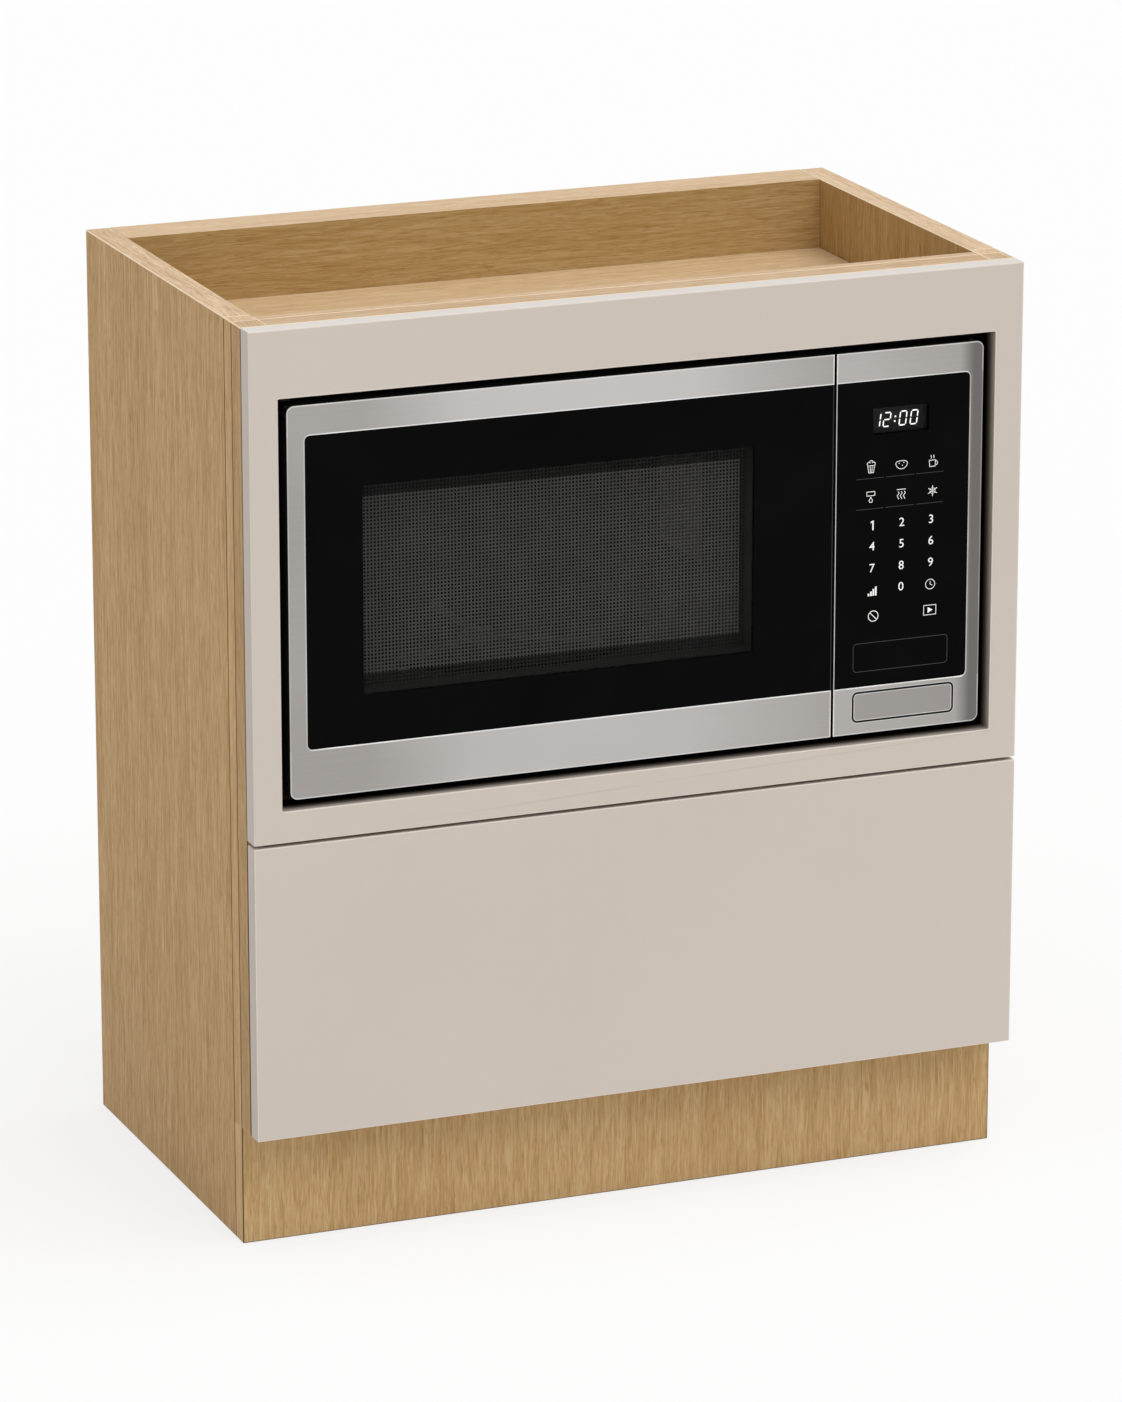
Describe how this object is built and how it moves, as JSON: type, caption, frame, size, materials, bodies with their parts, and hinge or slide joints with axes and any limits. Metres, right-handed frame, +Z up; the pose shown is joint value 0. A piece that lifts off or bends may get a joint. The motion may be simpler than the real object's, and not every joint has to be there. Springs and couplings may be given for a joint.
{
  "type": "microwave cabinet",
  "caption": "Oak base cabinet with an open tray top, a built-in microwave oven with a side-hinged door and a turntable, and a wide drawer below.",
  "frame": {"origin": "on the floor under the centre of the cabinet's outline", "axes": "-Y out of the front, +X to the viewer's right when facing the front, +Z up"},
  "size_m": [0.762, 0.457, 0.876],
  "materials": {
    "oak": "oak veneer with straight grain, matt oil",
    "oak_edge": "solid oak lipping and face frame, matt oil",
    "birch": "birch plywood, clear matt lacquer",
    "greige_lacquer": "fibreboard in satin greige lacquer",
    "zinc_steel": "zinc-plated pressed steel",
    "stainless": "stainless steel, brushed along its length",
    "oven_sheet": "galvanised and painted steel sheet",
    "enamel": "pale grey enamelled steel",
    "screen_steel": "perforated steel in thin black paint",
    "black_glass": "tempered glass with a black print behind",
    "clear_glass": "tempered clear glass",
    "black_plastic": "moulded black plastic, fine texture",
    "grey_plastic": "moulded grey plastic",
    "ivory_plastic": "moulded natural plastic",
    "white_plastic": "moulded white plastic",
    "rubber": "soft black rubber",
    "lamp": "white lamp holder and frosted bulb",
    "mica": "pale brown mica sheet",
    "circuit_board": "green circuit board with its parts"
  },
  "bodies": {
    "cabinet": {"side_panel_left": "oak", "side_panel_right": "oak", "side_lippings": "oak_edge", "toe_board": "oak", "bottom_panel": "oak", "appliance_shelf": "oak", "top_deck": "oak", "rear_top_rail": "oak", "back_panel": "oak", "cable_grommet": "black_plastic", "frame_stiles": "oak_edge", "frame_top_rail": "oak_edge", "frame_mid_rail": "oak_edge", "frame_bottom_rail": "oak_edge", "deck_apron": "oak", "support_cleats": "birch", "fascia_panel": "greige_lacquer", "runner_cabinet_members": "zinc_steel", "push_latch_housing": "black_plastic", "oven_case": "oven_sheet", "oven_base": "oven_sheet", "oven_back": "oven_sheet", "oven_front_plate": "oven_sheet", "oven_cavity": "enamel", "oven_feet": "rubber", "cavity_lamp": "lamp", "waveguide_cover": "mica", "magnetron": "zinc_steel", "inverter_board": "circuit_board", "fan_housing": "black_plastic", "power_inlet": "rubber", "interlock_housing": "ivory_plastic", "turntable_motor": "zinc_steel", "control_bezel": "stainless", "control_glass": "black_glass", "control_housing": "black_plastic", "control_board": "circuit_board", "hinge_brackets": "zinc_steel"},
    "drawer": {"drawer_front": "greige_lacquer", "drawer_sides": "birch", "drawer_box_front": "birch", "drawer_box_back": "birch", "drawer_bottom": "birch", "drawer_bumpers": "rubber", "runner_drawer_members": "zinc_steel"},
    "runner_middle": {"runner_middle_members": "zinc_steel"},
    "latch_plunger": {"push_latch_plunger": "grey_plastic"},
    "door": {"door_frame": "stainless", "door_glass": "black_glass", "door_inner_panel": "black_plastic", "door_screen": "screen_steel", "door_latch_bar": "ivory_plastic"},
    "button": {"release_button": "stainless"},
    "fan": {"fan_blade": "black_plastic"},
    "turntable": {"turntable_coupler": "ivory_plastic", "turntable_tray": "clear_glass"},
    "roller_ring": {"roller_ring": "white_plastic"},
    "wheel_1": {"roller_wheel_1": "white_plastic"},
    "wheel_2": {"roller_wheel_2": "white_plastic"},
    "wheel_3": {"roller_wheel_3": "white_plastic"}
  },
  "joints": [
    {"name": "drawer_slide", "type": "slide", "parent": "cabinet", "child": "drawer", "axis": [0, -1, 0], "range_m": [0, 0.33]},
    {"name": "runner_follow", "type": "slide", "parent": "cabinet", "child": "runner_middle", "axis": [0, -1, 0], "range_m": [0, 0.165]},
    {"name": "latch_press", "type": "slide", "parent": "cabinet", "child": "latch_plunger", "axis": [0, 1, 0], "range_m": [0, 0.003], "stiffness_N_per_m": 1200, "springref_m": -0.003},
    {"name": "door_hinge", "type": "hinge", "parent": "cabinet", "child": "door", "pos_m": [-0.3335, -0.2095, 0.62], "axis": [0, 0, -1], "range_deg": [0, 95]},
    {"name": "button_press", "type": "slide", "parent": "cabinet", "child": "button", "axis": [0, 1, 0], "range_m": [0, 0.004], "stiffness_N_per_m": 900, "springref_m": -0.003},
    {"name": "fan_spin", "type": "hinge", "parent": "cabinet", "child": "fan", "pos_m": [0.2451, 0.1505, 0.725], "axis": [0, 1, 0], "continuous": true},
    {"name": "turntable_spin", "type": "hinge", "parent": "cabinet", "child": "turntable", "pos_m": [-0.08, -0.0183, 0.514], "axis": [0, 0, 1], "continuous": true},
    {"name": "ring_spin", "type": "hinge", "parent": "cabinet", "child": "roller_ring", "pos_m": [-0.08, -0.0183, 0.507], "axis": [0, 0, 1], "continuous": true},
    {"name": "wheel_1_spin", "type": "hinge", "parent": "roller_ring", "child": "wheel_1", "pos_m": [-0.177, -0.0743, 0.507], "axis": [-0.866, -0.5, 0], "continuous": true},
    {"name": "wheel_2_spin", "type": "hinge", "parent": "roller_ring", "child": "wheel_2", "pos_m": [0.01699, -0.0743, 0.507], "axis": [0.866, -0.5, 0], "continuous": true},
    {"name": "wheel_3_spin", "type": "hinge", "parent": "roller_ring", "child": "wheel_3", "pos_m": [-0.08, 0.0937, 0.507], "axis": [0, 1, 0], "continuous": true}
  ],
  "couplings": [
    {"joint": "runner_follow", "follows": "drawer_slide", "ratio": 0.5},
    {"joint": "ring_spin", "follows": "turntable_spin", "ratio": 0.5},
    {"joint": "wheel_1_spin", "follows": "turntable_spin", "ratio": -8.3582},
    {"joint": "wheel_2_spin", "follows": "turntable_spin", "ratio": -8.3582},
    {"joint": "wheel_3_spin", "follows": "turntable_spin", "ratio": -8.3582}
  ]
}
